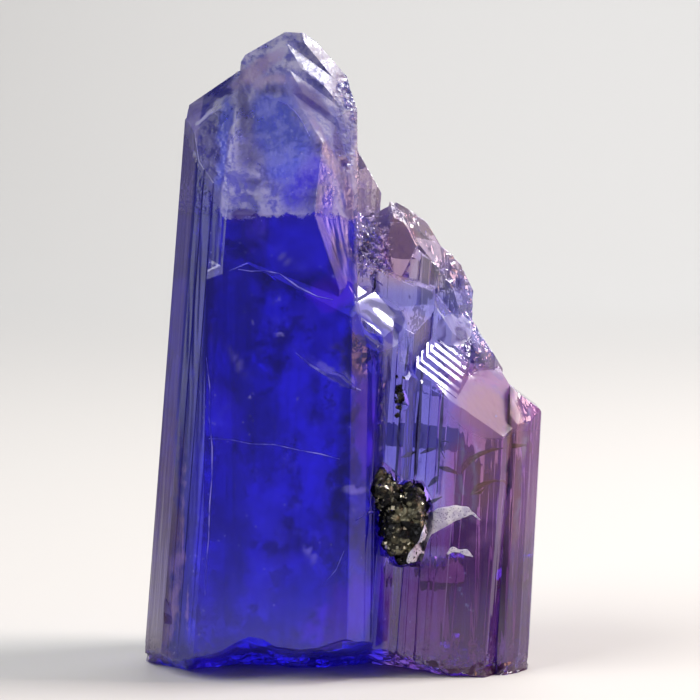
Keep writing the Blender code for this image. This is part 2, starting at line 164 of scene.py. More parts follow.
class Finish:
    """A material being wired up. Positions are in millimetres, from Object coordinates."""

    def __init__(self, name):
        self.material = bpy.data.materials.new(name)
        self.material.use_nodes = True
        self.tree = self.material.node_tree
        self.shader = self.tree.nodes["Principled BSDF"]
        self.output = self.tree.nodes["Material Output"]
        coordinates = self.node("ShaderNodeTexCoord")
        self.position = self.mapped(coordinates.outputs["Object"], (0, 0, 0), (1000, 1000, 1000))
        axes = self.node("ShaderNodeSeparateXYZ")
        self.join(self.position, axes.inputs[0])
        self.x, self.y, self.z = axes.outputs

    def node(self, kind, **values):
        made = self.tree.nodes.new(kind)
        for key, value in values.items():
            setattr(made, key, value)
        return made

    def join(self, source, target):
        if isinstance(source, bpy.types.NodeSocket):
            self.tree.links.new(source, target)
        else:
            target.default_value = source

    def mapped(self, vector, turn, scale, place=(0, 0, 0)):
        made = self.node("ShaderNodeMapping")
        made.inputs["Location"].default_value = place
        made.inputs["Rotation"].default_value = turn
        made.inputs["Scale"].default_value = scale
        self.join(vector, made.inputs["Vector"])
        return made.outputs[0]

    def math(self, operation, *terms):
        made = self.node("ShaderNodeMath", operation=operation)
        for term, socket in zip(terms, made.inputs):
            self.join(term, socket)
        return made.outputs[0]

    def fade(self, value, start, end, low=0.0, high=1.0):
        """low up to start, high from end on, and a smooth step between them."""
        made = self.node("ShaderNodeMapRange", interpolation_type="SMOOTHSTEP")
        for key, number in (("From Min", start), ("From Max", end), ("To Min", low), ("To Max", high)):
            self.join(number, made.inputs[key])
        self.join(value, made.inputs["Value"])
        return made.outputs[0]

    def mix(self, factor, first, second, blend="MIX"):
        made = self.node("ShaderNodeMix", data_type="RGBA", blend_type=blend)
        self.join(factor, made.inputs["Factor"])
        colours = [s for s in made.inputs if s.type == "RGBA"]
        for colour, socket in zip((first, second), colours):
            self.join(colour if isinstance(colour, bpy.types.NodeSocket) else (*colour[:3], 1), socket)
        return [s for s in made.outputs if s.type == "RGBA"][0]

    def clouds(self, scale, detail=3.0, roughness=0.55, vector=None, distortion=0.0):
        made = self.node("ShaderNodeTexNoise")
        made.inputs["Scale"].default_value = scale
        made.inputs["Detail"].default_value = detail
        made.inputs["Roughness"].default_value = roughness
        made.inputs["Distortion"].default_value = distortion
        self.join(vector or self.position, made.inputs["Vector"])
        return made.outputs["Fac"]

    def cells(self, scale, vector=None, feature="F1", output="Distance"):
        made = self.node("ShaderNodeTexVoronoi", feature=feature)
        made.inputs["Scale"].default_value = scale
        self.join(vector or self.position, made.inputs["Vector"])
        return made.outputs[output]

    def both(self, first, second):
        return self.math("MULTIPLY", first, second)

    def bump(self, height, distance, strength=1.0, under=None):
        made = self.node("ShaderNodeBump")
        made.inputs["Strength"].default_value = strength
        made.inputs["Distance"].default_value = distance
        self.join(height, made.inputs["Height"])
        if under is not None:
            self.join(under, made.inputs["Normal"])
        return made.outputs[0]

    def set(self, **values):
        for key, value in values.items():
            self.join(value, self.shader.inputs[key.replace("_", " ")])


# Patches of colour in the crystal, seen from the front, with painted highlights, painted warm reflections and
# painted shade among them: colour, strength, and the ovals they fill.
# An oval is its middle (x, z), half length, half width in mm and the tilt of its length in degrees.
MAIN_PATCHES = [
    ((0.014, 0.010, 0.45), 0.8, [
        (-3.45, 11.6, 2.3, 0.95, 85), (-2.7, 8.6, 2.3, 0.75, 100), (-3.55, 4.4, 3.9, 0.75, 87),
        (-1.5, 2.7, 1.7, 0.85, 60), (-3.1, 1.2, 1.7, 0.6, 0), (-3.3, 14.5, 0.9, 0.45, 120),
    ]),
    ((0.035, 0.022, 1.0), 0.85, [
        (-0.85, 14.2, 1.7, 0.85, 20), (-2.0, 13.5, 1.1, 0.5, 160), (-1.5, 9.3, 1.9, 0.7, 80),
        (-0.9, 7.0, 1.8, 0.5, 100), (-2.3, 5.6, 1.3, 0.5, 70),
    ]),
    ((0.10, 0.008, 0.95), 0.85, [
        (-0.35, 12.5, 0.95, 0.6, 20), (0.35, 2.4, 2.1, 0.95, 35), (0.75, 8.3, 1.9, 0.28, 88),
        (1.5, 3.4, 0.9, 0.5, 60),
    ]),
    # Dark navy; the oval below the knob, at (0.55, 10.8), is painted shade
    ((0.014, 0.008, 0.16), 0.85, [
        (-0.2, 13.9, 1.2, 0.34, 88), (0.55, 10.8, 1.1, 0.65, 75), (1.0, 4.3, 1.0, 0.55, 80),
        (1.25, 8.0, 3.0, 0.12, 87), (1.05, 6.0, 4.5, 0.3, 88), (1.0, 2.5, 1.8, 0.35, 88),
    ]),
    ((0.44, 0.41, 0.92), 0.95, [
        (-0.35, 9.95, 0.8, 0.16, -30), (0.25, 9.8, 0.4, 0.12, -35), (-3.4, 10.4, 0.6, 0.1, -59),
        (-1.7, 13.55, 0.36, 0.1, -35), (0.4, 6.25, 0.55, 0.13, -6), (-1.1, 4.2, 0.35, 0.1, -45),
    ]),
    ((0.13, 0.11, 0.035), 0.7, [(-0.33, 10.8, 0.28, 0.2, 30), (-0.05, 10.55, 0.2, 0.12, -40)]),
]
LEFT_PATCHES = [
    ((0.16, 0.08, 0.13), 0.85, [(-5.95, 3.2, 5.6, 0.55, 86)]),
    ((0.50, 0.30, 0.52), 0.65, [
        (-5.2, 4.7, 3.4, 0.13, 88), (-5.45, 2.6, 2.4, 0.2, 84), (-4.95, 2.0, 1.5, 0.08, 88),
    ]),
]
TIP_PATCHES = [
    ((0.12, 0.18, 1.0), 1.0, [
        (-2.1, 17.9, 1.5, 0.9, 95), (-1.65, 16.9, 1.1, 0.95, 90), (-3.85, 17.4, 1.6, 0.22, 85),
    ]),
    ((0.07, 0.03, 1.0), 0.9, [(-1.1, 16.2, 1.2, 0.75, 60), (-0.55, 15.4, 0.8, 0.3, 80)]),
    ((0.07, 0.06, 0.27), 0.7, [
        (-3.15, 18.3, 1.8, 0.3, 98), (-2.95, 16.9, 0.7, 0.5, 90), (-4.0, 17.0, 0.5, 0.2, 80),
        (-4.45, 17.4, 0.45, 0.14, 60), (-2.75, 16.0, 0.85, 0.16, 170), (-0.75, 15.6, 0.9, 0.5, 70),
        (-2.2, 18.95, 0.7, 0.26, 175), (-0.75, 17.1, 0.5, 0.18, 100), (-4.2, 15.9, 0.5, 0.1, 120),
    ]),
    ((0.06, 0.015, 0.26), 0.9, [
        (-1.1, 18.7, 1.05, 0.34, -42), (0.05, 16.2, 1.8, 0.24, -80), (-3.15, 15.0, 0.45, 0.2, 0),
    ]),
    ((0.62, 0.48, 0.66), 0.9, [
        (-0.45, 16.9, 1.6, 0.2, -62), (-2.9, 19.55, 1.1, 0.3, 35), (-2.3, 19.25, 0.9, 0.16, 5),
    ]),
    # Painted highlights: thin white lines and spots along the edges of the tip's facets
    ((0.82, 0.84, 0.92), 1.0, [
        (-2.71, 15.53, 0.24, 0.13, -40), (-4.25, 18.3, 0.85, 0.12, 42), (-1.93, 18.65, 0.34, 0.028, -28),
        (-1.33, 18.05, 0.62, 0.028, -54), (-4.75, 16.7, 0.5, 0.035, -60), (-3.7, 16.45, 0.22, 0.07, -20),
    ]),
]
STEP_PATCHES = [
    ((0.30, 0.30, 1.0), 0.9, [(2.5, 8.4, 2.6, 1.45, 86)]),
    ((0.035, 0.02, 0.22), 0.95, [
        (1.87, 8.0, 2.2, 0.07, 86), (2.5, 7.7, 2.4, 0.085, 87), (3.22, 7.9, 2.2, 0.06, 86.5),
        (2.82, 9.3, 0.9, 0.03, 86), (1.04, 12.67, 0.5, 0.15, 88), (3.25, 11.0, 0.8, 0.06, 88),
        (2.05, 10.1, 0.6, 0.13, 84), (3.85, 13.05, 1.05, 0.4, -58), (5.36, 7.3, 2.6, 0.085, 88),
        (2.2, 12.2, 0.3, 0.03, 60), (4.15, 10.6, 0.9, 0.2, -60), (1.45, 9.8, 1.0, 0.09, 85),
    ]),
    ((0.15, 0.022, 0.18), 0.8, [
        (3.8, 2.4, 3.4, 2.1, 10), (2.9, 3.1, 1.0, 0.6, 90), (3.6, 4.6, 1.3, 0.5, 20),
    ]),
    # Rose on the right facets: their own lilac tint with painted warm light over it
    ((0.66, 0.34, 0.36), 0.85, [
        (4.6, 8.6, 1.3, 0.85, -30), (4.55, 6.8, 1.5, 0.5, 85), (5.62, 6.3, 3.3, 0.2, 88),
        (5.65, 8.2, 1.0, 0.2, 85),
    ]),
    ((0.72, 0.64, 0.86), 0.85, [
        (5.9, 7.6, 1.8, 0.09, 80), (5.72, 5.7, 1.4, 0.06, 85), (3.85, 7.0, 2.3, 0.05, 88),
        (4.22, 6.6, 1.9, 0.05, 88), (2.3, 11.4, 0.95, 0.5, -15), (4.7, 10.2, 0.8, 0.22, -52),
        (4.5, 11.8, 0.9, 0.14, -65),
    ]),
    # Salmon pink on the crown facet: painted warm reflection
    ((1.0, 0.62, 0.62), 1.0, [(1.8, 13.95, 1.15, 0.52, 84)]),
    ((0.10, 0.08, 0.14), 0.8, [
        (0.75, 13.9, 0.8, 0.2, 75), (1.15, 13.35, 0.55, 0.16, -35), (1.0, 14.45, 0.4, 0.1, 10),
        (2.2, 14.75, 0.9, 0.05, -38), (1.75, 15.05, 0.7, 0.05, -12), (2.75, 14.0, 0.5, 0.05, -60),
    ]),
    ((0.86, 0.84, 0.84), 0.9, [
        (3.02, 13.5, 0.6, 0.13, 88), (3.3, 12.7, 0.6, 0.15, -62), (2.45, 14.45, 0.8, 0.06, -40),
        (1.35, 14.95, 0.7, 0.1, 25), (0.9, 13.6, 0.5, 0.04, -45), (1.0, 14.2, 0.45, 0.04, 20),
    ]),
]
# The small knob, and its two bands that catch the light; the bands are also painted near-white as painted
# highlights
KNOB = (1.15, 11.5, 1.05, 0.85, -40)
HIGHLIGHT_BANDS = [(1.34, 11.68, 0.46, 0.11, -40), (0.92, 11.36, 0.40, 0.12, -34)]
KNOB_PATCHES_AND_HIGHLIGHTS = [
    # Painted highlights: the two bands painted near-white
    ((0.86, 0.85, 0.88), 1.0, HIGHLIGHT_BANDS),
    ((0.02, 0.015, 0.20), 1.0, [
        (1.12, 11.53, 0.6, 0.07, -38), (1.2, 12.02, 0.8, 0.14, -25), (1.8, 11.4, 0.18, 0.5, 0),
        (0.7, 11.0, 0.7, 0.14, -35),
    ]),
    ((0.10, 0.09, 0.80), 1.0, [(1.3, 11.15, 0.5, 0.15, -40)]),
]
# Frosted facets that stay dull under the lamps, ovals as above
DULL = [
    KNOB, (4.5, 8.75, 1.5, 0.95, -28), (3.62, 11.2, 0.7, 0.55, 0),
    (-0.62, 18.2, 1.6, 0.6, -42), (-0.2, 17.6, 0.9, 0.5, -60), (4.9, 9.3, 0.9, 0.6, -30),
]


def zoisite(stone):
    """Clear violet-blue zoisite: deep blue in the thick growth, lilac in the thin ones, with a frosted
    tip, etched corners, growth lines and pale veins, and painted highlights, painted warm reflections
    and painted shade. Reads what paint() left on the mesh."""
    f = Finish("violet_blue_zoisite")
    upright = f.mapped(f.position, (0, math.radians(-4.5), 0), (1, 1, 0.06))
    coarse = f.clouds(0.42, 3.0, 0.6)
    fine = f.clouds(1.9, 4.0, 0.7)
    ragged = f.math("MULTIPLY_ADD", fine, 1.1, -0.55)

    # What is painted on the mesh
    regions = f.node("ShaderNodeVertexColor", layer_name="regions")
    parts = f.node("ShaderNodeSeparateColor")
    f.join(regions.outputs["Color"], parts.inputs[0])
    tip = f.fade(f.math("ADD", parts.outputs[0], ragged), 0.42, 0.58)
    stepped = parts.outputs[1]
    dull = parts.outputs[2]
    patches = f.node("ShaderNodeVertexColor", layer_name="patches")
    cover = f.fade(f.math("ADD", patches.outputs["Alpha"], ragged), 0.32, 0.72)

    # Deep blue, mottled, with a frosted tip and grey-violet strips on the left
    body = f.mix(f.fade(coarse, 0.38, 0.60), (0.010, 0.006, 0.30), stone.body_colour)
    body = f.mix(f.fade(f.clouds(0.9, 3.0, 0.6), 0.46, 0.62, 0.0, 0.75), body, (0.030, 0.020, 1.0))
    body = f.mix(f.fade(fine, 0.50, 0.70, 0.0, 0.5), body, (0.08, 0.07, 0.95))
    body = f.mix(f.fade(f.clouds(1.25, 4.0, 0.65), 0.50, 0.60, 0.0, 0.7), body, (0.008, 0.005, 0.17))
    body = f.mix(tip, body, f.mix(f.fade(fine, 0.40, 0.60), (0.22, 0.23, 0.66), (0.78, 0.78, 0.96)))
    strip = f.mix(f.fade(f.z, 6.5, 10.5), (0.17, 0.10, 0.17), (0.25, 0.21, 0.44))
    strip = f.mix(f.fade(f.math("MULTIPLY_ADD", f.z, -LEAN, f.x), -6.1, -6.02), strip, (0.012, 0.009, 0.26))
    body = f.mix(regions.outputs["Alpha"], strip, body)

    # Stepped growths: clear lilac, blue behind the grooves, rosy at the right, and pinkish white above 13 mm,
    # partly painted warm reflection on the crown
    pale = f.mix(f.fade(f.z, 12.2, 13.0), (0.56, 0.58, 1.0), (0.95, 0.82, 0.84))
    right = f.both(f.fade(f.x, 2.9, 3.6), f.fade(f.z, 9.6, 10.6, 1.0, 0.0))
    pale = f.mix(right, pale, stone.pale_colour)
    pale = f.mix(f.fade(f.z, 2.5, 6.0, 0.85, 0.0), pale, (0.13, 0.018, 0.16))
    pale = f.mix(f.fade(f.clouds(2.4, 1.0, 0.5, upright), 0.52, 0.66, 0.0, 0.4), pale, (0.26, 0.17, 0.62))
    colour = f.mix(stepped, body, pale)
    # The painted patches, with painted highlights, painted warm reflections and painted shade among them
    colour = f.mix(f.both(cover, 0.9), colour, patches.outputs["Color"])
    colour = f.mix(f.fade(fine, 0.67, 0.73, 0.0, 0.7), colour, (0.60, 0.56, 0.97))

    dust = f.both(f.fade(f.cells(2.6), 0.05, 0.10, 0.6, 0.0), f.fade(coarse, 0.42, 0.56))
    colour = f.mix(dust, colour, (0.50, 0.48, 0.94))

    # Roughness: frosted tip and facets, cloudy front, the rest glassy
    rough = f.both(tip, f.fade(fine, 0.4, 0.7, 0.10, 0.40))
    rough = f.math("MULTIPLY_ADD", dull, 0.6, rough)
    cloudy = f.both(f.math("SUBTRACT", 1.0, stepped), f.fade(coarse, 0.3, 0.7, 0.10, 0.20))
    rough = f.math("MULTIPLY_ADD", cloudy, f.fade(f.y, -1.2, -0.2, 1.0, 0.0), rough)
    rough = f.math("MINIMUM", f.math("ADD", rough, 0.04), 0.75)

    # Relief in mm: growth lines up the prisms, grit on the tip and the base
    quiet = f.both(f.fade(f.y, -3.55, -3.45, 1.0, 0.0), f.fade(f.x, 0.9, 1.1, 1.0, 0.0))
    height = f.both(f.clouds(3.4, 1.0, 0.6, upright), f.fade(quiet, 0.0, 1.0, 0.028, 0.0))
    gritty = f.math("MAXIMUM", f.fade(f.z, 14.9, 15.2), f.fade(f.z, 0.35, 1.6, 1.0, 0.0))
    height = f.math("MULTIPLY_ADD", f.both(f.clouds(5.5, 1.0, 0.6), gritty), 0.022, height)

    f.set(Base_Color=colour, Roughness=rough, Normal=f.bump(height, MM))
    f.set(Transmission_Weight=0.76, IOR=stone.refraction)
    absorb = f.node("ShaderNodeVolumeAbsorption")
    absorb.inputs["Color"].default_value = (*stone.absorption_colour, 1)
    absorb.inputs["Density"].default_value = stone.absorption_density
    f.join(absorb.outputs[0], f.output.inputs["Volume"])
    return f.material


def matrix_rock(name, dark, light):
    """Dark metallic matrix: graphite with specks of pyrite."""
    f = Finish(name)
    grains = f.cells(5.0, feature="F1", output="Color")
    level = f.node("ShaderNodeSeparateXYZ")
    f.join(grains, level.inputs[0])
    colour = f.mix(f.fade(level.outputs[0], 0.3, 0.8), dark, light)
    colour = f.mix(f.fade(f.clouds(1.6, 4.0), 0.42, 0.54), colour, (0.012, 0.012, 0.014))
    f.set(Base_Color=colour, Metallic=0.85)
    f.set(Roughness=f.fade(level.outputs[1], 0.0, 1.0, 0.18, 0.55))
    f.set(Normal=f.bump(f.clouds(9.0, 4.0, 0.7), 0.03 * MM, 0.9))
    return f.material


def bright_metal(name, colour):
    """Fresh faces of the pyrite grains."""
    f = Finish(name)
    f.set(Base_Color=f.mix(f.clouds(4.0), colour, (0.9, 0.88, 0.8)), Metallic=1.0)
    f.set(Roughness=f.fade(f.clouds(7.0), 0.3, 0.7, 0.12, 0.35))
    return f.material


def pale_crust(name):
    """Whitish porous film: pale lilac grey, full of tiny dark pores."""
    f = Finish(name)
    pores = f.fade(f.cells(15.0), 0.18, 0.36, 1.0, 0.0)
    patch = f.clouds(3.0, 4.0, 0.7)
    colour = f.mix(f.fade(patch, 0.4, 0.65), (0.50, 0.46, 0.66), (0.80, 0.78, 0.88))
    colour = f.mix(f.both(pores, f.fade(f.clouds(1.6), 0.28, 0.5)), colour, (0.10, 0.07, 0.25))
    f.set(Base_Color=colour, Roughness=f.fade(patch, 0.3, 0.7, 0.35, 0.7))
    f.set(Normal=f.bump(f.clouds(11.0, 4.0, 0.7), 0.02 * MM, 0.9))
    return f.material


def crack_shade(name, colour):
    """The dark look of a crack inside the crystal."""
    f = Finish(name)
    f.set(Base_Color=f.mix(f.clouds(2.5, 4.0), colour, [c * 0.4 for c in colour]))
    f.set(Roughness=f.fade(f.clouds(4.0), 0.3, 0.7, 0.2, 0.5))
    return f.material


def vein(name):
    """Pale frosty filling of the fine veins, patchy along their length."""
    f = Finish(name)
    colour = f.mix(f.fade(f.clouds(1.3, 4.0), 0.42, 0.64), (0.02, 0.015, 0.42), (0.24, 0.23, 0.80))
    f.set(Base_Color=colour, Roughness=f.fade(f.clouds(6.0), 0.3, 0.7, 0.3, 0.6))
    return f.material


# Shapes

# Which edges of the crystal are worn: blunter, shorter or narrower ones than this stay sharp
WORN_ANGLE = math.radians(26)
WORN_LENGTH = 0.35 * MM
WORN_FACE_WIDTH = 0.08 * MM
WORN_CORNER = math.radians(15)
# Faces that turn by less than this are one face
FLAT_ANGLE = math.radians(0.4)
# A bevel has folded over where a face larger than FOLDED_AREA points against the crystal's own
# surface (FOLDED_TURN is the cosine). The edges within FOLDED_REACH of it then stay sharp.
FOLDED_AREA = 1e-5 * MM * MM
FOLDED_TURN = -0.2
FOLDED_REACH = 0.2 * MM


def is_worn(edge):
    """True for the sharp edges of the larger faces, apart from those that end in a narrow wedge."""
    if len(edge.link_faces) != 2:
        return False
    if edge.calc_face_angle() < WORN_ANGLE or edge.calc_length() < WORN_LENGTH:
        return False
    for face in edge.link_faces:
        if face.calc_area() / max(e.calc_length() for e in face.edges) < WORN_FACE_WIDTH:
            return False
        for other in face.edges:
            for corner in set(other.verts) & set(edge.verts):
                if other is not edge:
                    away = edge.other_vert(corner).co - corner.co
                    if away.angle(other.other_vert(corner).co - corner.co) < WORN_CORNER:
                        return False
    return True


def folded_edges(bm, lines, tree):
    """Indices of the edges, given as (index, start, end), near which a bevelled face has folded over."""
    folded = set()
    for face in bm.faces:
        middle = face.calc_center_median()
        if face.calc_area() < FOLDED_AREA or tree.find_nearest(middle)[1].dot(face.normal) > FOLDED_TURN:
            continue
        for index, start, end in lines:
            share = min(max(intersect_point_line(middle, start, end)[1], 0.0), 1.0)
            if (start.lerp(end, share) - middle).length < FOLDED_REACH:
                folded.add(index)
    return folded


def crystal_mesh(width):
    """The crystal's own faces with their edges slightly worn. Edges whose bevel folds over stay sharp."""
    tree = search_tree("tanzanite_crystal")
    kept_sharp = set()
    while True:
        bm = merged_copy("tanzanite_crystal")
        bmesh.ops.dissolve_limit(
            bm, angle_limit=FLAT_ANGLE, verts=bm.verts[:], edges=bm.edges[:], use_dissolve_boundaries=False
        )
        bm.edges.index_update()
        worn = [e for e in bm.edges if e.index not in kept_sharp and is_worn(e)]
        lines = [(e.index, e.verts[0].co.copy(), e.verts[1].co.copy()) for e in worn]
        bmesh.ops.bevel(
            bm, geom=worn, offset=width, offset_type="OFFSET", affect="EDGES", segments=1,
            profile=0.5, clamp_overlap=False, material=-1,
        )
        bmesh.ops.triangulate(bm, faces=bm.faces[:])
        folded = folded_edges(bm, lines, tree)
        if not folded:
            return bm
        kept_sharp |= folded
        bm.free()


# Chipped and etched places: middle, radii and depth of the chips, all in mm
CHIPPED = [
    ((0.95, -1.5, 14.0), (0.75, 3.5, 1.35), 0.13), ((2.0, -1.5, 14.9), (0.9, 3.5, 0.35), 0.08),
    ((0.1, -0.5, 18.0), (0.5, 4.5, 1.9), 0.12), ((4.3, -1.0, 11.2), (0.75, 4.5, 1.9), 0.08),
    ((3.6, -1.0, 13.0), (0.6, 4.5, 0.8), 0.08), ((1.25, -3.6, 8.0), (0.16, 1.0, 3.2), 0.07),
    ((0.9, -3.6, 10.6), (0.75, 1.2, 0.65), 0.06), ((-1.0, 0.0, 0.0), (9.5, 7.5, 1.1), 0.12),
]
# How many of them, from the first on, are etched finely
ETCHED = 4
# The small knob, where the paint has fine bands: middle, radii and a depth that only marks it
KNOB_PLACE = ((1.15, -3.0, 11.5), (1.1, 3.0, 1.0), 1.0)
# The front is what lies before this y
FRONT = -0.5
# Sizes of the slices, all in mm: the whole stone, the front and the chips, the etched chips, the knob
WHOLE_STEP, FRONT_STEP, ETCHED_STEP, KNOB_STEP = 0.8, 0.17, 0.1, 0.07
# Share of the step that keeps the first slice off the border
FIRST_SLICE = 0.37
# Cells per mm of the large and the small dents, and their share of the depth
LARGE_DENTS, SMALL_DENTS = (2.3, 0.55), (5.5, 0.45)
# How steeply a dent falls off from the borders of its cell
DENT_SLOPE = 1.6
# Points lower than this, in mm, carry the stone and stay level
LEVEL = 0.02


def chip_depth(points, places):
    """Depth of the chips at points, in mm. It fades out at the border of a place."""
    depth = np.zeros(len(points))
    for middle, radii, deepest in places:
        far = (((points - middle) / radii) ** 2).sum(axis=1)
        depth = np.maximum(depth, deepest * np.clip(2.0 * (1 - far), 0, 1))
    return depth


def middles(bm):
    return np.array([f.calc_center_median()[:] for f in bm.faces]) / MM


def sliced(bm, wanted, step):
    """Cuts the wanted faces into a grid, seen from the front, of the given step in mm."""
    faces = [f for f, chosen in zip(bm.faces[:], wanted) if chosen]
    geom = list(faces)
    geom += dict.fromkeys(e for f in faces for e in f.edges)
    geom += dict.fromkeys(v for f in faces for v in f.verts)
    corners = np.array([v.co[:] for f in faces for v in f.verts]) / MM
    for axis in (0, 2):
        normal = Vector((axis == 0, 0, axis == 2))
        low, high = corners[:, axis].min(), corners[:, axis].max()
        for at in np.arange(low + FIRST_SLICE * step, high, step):
            place = normal * float(at) * MM
            geom = bmesh.ops.bisect_plane(bm, geom=geom, dist=JOINED, plane_co=place, plane_no=normal)["geom"]


def dent(at, cells, share):
    """0 at the borders of the cells and up to the given share inside them."""
    near = noise.voronoi(at * cells)[0]
    return share * min(1.0, DENT_SLOPE * (near[1] - near[0]))


def chipped(bm):
    """Slices the front finely, then dents the chipped places inwards."""
    sliced(bm, np.ones(len(bm.faces)), WHOLE_STEP)
    at = middles(bm)
    sliced(bm, (at[:, 1] < FRONT) | (chip_depth(at, CHIPPED) > 0), FRONT_STEP)
    sliced(bm, chip_depth(middles(bm), CHIPPED[:ETCHED]) > 0, ETCHED_STEP)
    sliced(bm, chip_depth(middles(bm), [KNOB_PLACE]) > 0, KNOB_STEP)
    bmesh.ops.triangulate(bm, faces=bm.faces[:])
    bm.normal_update()
    moves = []
    depths = chip_depth(np.array([v.co[:] for v in bm.verts]) / MM, CHIPPED)
    for vertex, depth in zip(bm.verts, depths):
        at = vertex.co / MM
        if depth > 0 and at.z > LEVEL:
            inwards = dent(at, *LARGE_DENTS) + dent(at, *SMALL_DENTS)
            moves.append((vertex, vertex.normal * float(-depth * inwards * MM)))
    for vertex, move in moves:
        vertex.co += move
        vertex.co.z = max(vertex.co.z, 0.0)
    return bm


def smooth(value, start, end):
    """0 at start and beyond it, 1 at end, and a smooth step between them."""
    share = np.clip((value - start) / (end - start), 0.0, 1.0)
    return share * share * (3 - 2 * share)


def oval_distances(ovals, x, z):
    """Squares of the distances from the middles of the ovals, 1 on an outline; a row for each oval."""
    rows = []
    for middle_x, middle_z, length, width, tilt in ovals:
        cosine, sine = math.cos(math.radians(tilt)), math.sin(math.radians(tilt))
        along = ((x - middle_x) * cosine + (z - middle_z) * sine) / length
        aside = ((z - middle_z) * cosine - (x - middle_x) * sine) / width
        rows.append(along ** 2 + aside ** 2)
    return np.array(rows)


# The wavering of the painted borders in mm, and the waves per mm of its large and small parts
WAVER = 0.16
LARGE_WAVES, SMALL_WAVES = 1.6, 3.7
# Heights in mm: the lower border of the frosted tip, and where the stepped growths widen to the left
TIP_BORDER = 14.95
STEPPED_LOW, STEPPED_HIGH = 11.2, 12.0


def wavering(at):
    """A small shift for each point."""
    points = [Vector(p) for p in at]
    large = np.array([noise.noise_vector(p * LARGE_WAVES) for p in points])
    small = np.array([noise.noise_vector(p * SMALL_WAVES) for p in points])
    return WAVER * (large + 0.5 * small)


def paint(bm):
    """Leaves two colours on each vertex. "regions" tells where the frosted tip, the stepped growths,
    the dull facets and (alpha near 0) the left strips are. "patches" holds the patches, with painted
    highlights, painted warm reflections and painted shade among them, and their cover."""
    at = np.array([v.co[:] for v in bm.verts]) / MM
    x, y, z = at.T
    ragged_x, _, ragged_z = (at + wavering(at)).T

    border = TIP_BORDER + 2.0 * np.maximum(0.0, -3.85 - x)
    tip = np.clip(0.5 + (ragged_z - border) / 0.8, 0, 1) * smooth(x, 0.6, 0.35)
    stepped = smooth(x - 1.32 + 0.87 * smooth(z, STEPPED_LOW, STEPPED_HIGH), -0.08, 0.08)
    dull = smooth(oval_distances(DULL, x, z).min(axis=0), 1.0, 0.5)
    dull *= smooth(oval_distances(HIGHLIGHT_BANDS, x, z).min(axis=0), 0.8, 1.2)
    strips = smooth(x - LEAN * z, -5.05, -5.15)

    # Each point takes the colour of the patches near it, in the list of its own part of the stone
    fills = np.zeros((len(at), 4))
    parts = [
        (MAIN_PATCHES, np.ones(len(at))), (LEFT_PATCHES, strips), (TIP_PATCHES, tip > 0.4),
        (STEP_PATCHES, stepped), (KNOB_PATCHES_AND_HIGHLIGHTS, smooth(oval_distances([KNOB], x, z)[0], 1.0, 0.8)),
    ]
    for patches, share in parts:
        total, weights, cover = np.zeros((len(at), 3)), np.zeros(len(at)), np.zeros(len(at))
        for colour, strength, ovals in patches:
            for distance in oval_distances(ovals, ragged_x, ragged_z):
                near = 1.0 / (0.05 + distance) ** 2
                total += near[:, None] * np.array(colour)
                weights += near
                cover = np.maximum(cover, strength * np.clip(1.0 - 0.5 * distance, 0, 1))
        own = np.column_stack([total / weights[:, None], cover])
        fills = fills * (1 - share[:, None]) + own * share[:, None]
    # The patches are on the front alone
    fills[:, 3] *= smooth(y, -0.2, -1.2)

    regions = bm.verts.layers.float_color.new("regions")
    painted = bm.verts.layers.float_color.new("patches")
    for i, vertex in enumerate(bm.verts):
        vertex[regions] = (tip[i], stepped[i], dull[i], 1 - 0.9 * strips[i])
        vertex[painted] = fills[i]
    return bm


def rough_rock(bm, swell, seed):
    """Roughens a closed mesh: swells it, then breaks its surface into small facets."""
    shift = Vector((seed, -seed, 0.5 * seed))
    moves = {}
    bm.normal_update()
    for vertex in bm.verts:
        at = vertex.co / MM
        block = noise.voronoi(at * 2.6 + shift)[0]
        small = noise.voronoi(at * 6.0 - shift)[0]
        rise = swell + 0.16 * (block[1] - block[0]) - 0.10 * block[0] + 0.05 * (small[1] - small[0])
        moves[vertex] = vertex.normal * rise * MM
    for vertex, move in moves.items():
        vertex.co += move


def remeshed(bm, name, voxel):
    """A closed even mesh around the same shape."""
    mesh = bpy.data.meshes.new(name)
    bm.to_mesh(mesh)
    bm.free()
    holder = bpy.data.objects.new(name, mesh)
    bpy.context.scene.collection.objects.link(holder)
    modifier = holder.modifiers.new("voxels", "REMESH")
    modifier.mode = "VOXEL"
    modifier.voxel_size = voxel
    bpy.context.view_layer.update()
    even = bpy.data.meshes.new_from_object(holder.evaluated_get(bpy.context.evaluated_depsgraph_get()))
    bpy.data.objects.remove(holder)
    bpy.data.meshes.remove(mesh)
    made = bmesh.new()
    made.from_mesh(even)
    bpy.data.meshes.remove(even)
    return made


# A y well before the stone, from which its front is looked for
RAY_START = -20 * MM


def surface_below(tree, x, z, fallback):
    """The y of the front surface at (x, z), in metres, or the fallback where there is none."""
    hit = tree.ray_cast(Vector((x, RAY_START, z)), Vector((0, 1, 0)))
    return hit[0].y if hit[0] is not None else fallback


def add_grain(bm, place, size, dice):
    """One small angular crystal grain."""
    made = bmesh.ops.create_cube(bm, size=1.0)["verts"]
    shape = Matrix.Diagonal(Vector((size * dice.uniform(0.5, 1.2), size * dice.uniform(0.5, 1.0), size, 1)))
    angle = dice.uniform(0, 6.3)
    axis = Vector([dice.uniform(-1, 1) for _ in range(3)]).normalized()
    turn = Matrix.Rotation(angle, 4, axis)
    bmesh.ops.transform(bm, matrix=Matrix.Translation(place) @ turn @ shape, verts=made)


